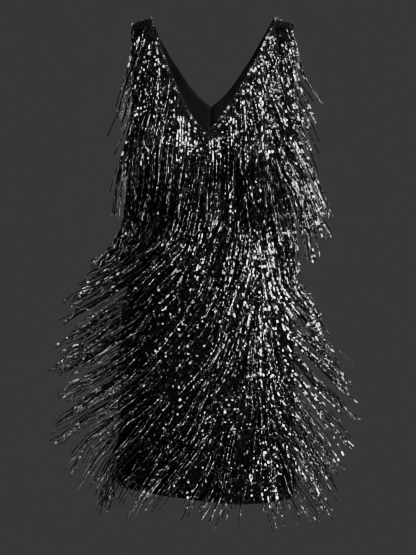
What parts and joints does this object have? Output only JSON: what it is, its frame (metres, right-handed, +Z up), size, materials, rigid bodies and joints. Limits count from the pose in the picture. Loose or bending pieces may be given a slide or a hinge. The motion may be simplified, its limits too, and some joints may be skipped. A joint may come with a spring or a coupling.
{
  "type": "sequin fringe mini dress",
  "caption": "Sleeveless V-neck mini dress in black sequinned cloth with rows of beaded string fringe swinging to both sides, filled out as worn and hollow, open at neck, arms and hem",
  "frame": {"origin": "midway between the two shoulders, level with the inside of their tops, where the straps rest on the wearer", "axes": "+Z up the body, -Y out of the front, +X to the right of someone who looks at the front"},
  "size_m": [0.565, 0.2725, 0.9241],
  "materials": {
    "sequin_cloth": "matte black knit covered with round glossy black sequins",
    "lining": "plain matte black",
    "fringe": "strings of small glossy black beads"
  },
  "bodies": {
    "root": {"back_lining_left": "lining", "back_lining_right": "lining", "back_panel_left": "sequin_cloth", "back_panel_right": "sequin_cloth", "fringe_back_1": "fringe", "fringe_back_2": "fringe", "fringe_back_3": "fringe", "fringe_back_4": "fringe", "fringe_back_5": "fringe", "fringe_back_6": "fringe", "fringe_back_7": "fringe", "fringe_back_8": "fringe", "fringe_back_9": "fringe", "fringe_back_strap_left": "fringe", "fringe_back_strap_right": "fringe", "fringe_back_yoke": "fringe", "fringe_front_1": "fringe", "fringe_front_2": "fringe", "fringe_front_3": "fringe", "fringe_front_4": "fringe", "fringe_front_5": "fringe", "fringe_front_6": "fringe", "fringe_front_7": "fringe", "fringe_front_8": "fringe", "fringe_front_9": "fringe", "fringe_front_strap_left_1": "fringe", "fringe_front_strap_left_2": "fringe", "fringe_front_strap_right_1": "fringe", "fringe_front_strap_right_2": "fringe", "front_panel": "sequin_cloth"}
  },
  "joints": []
}
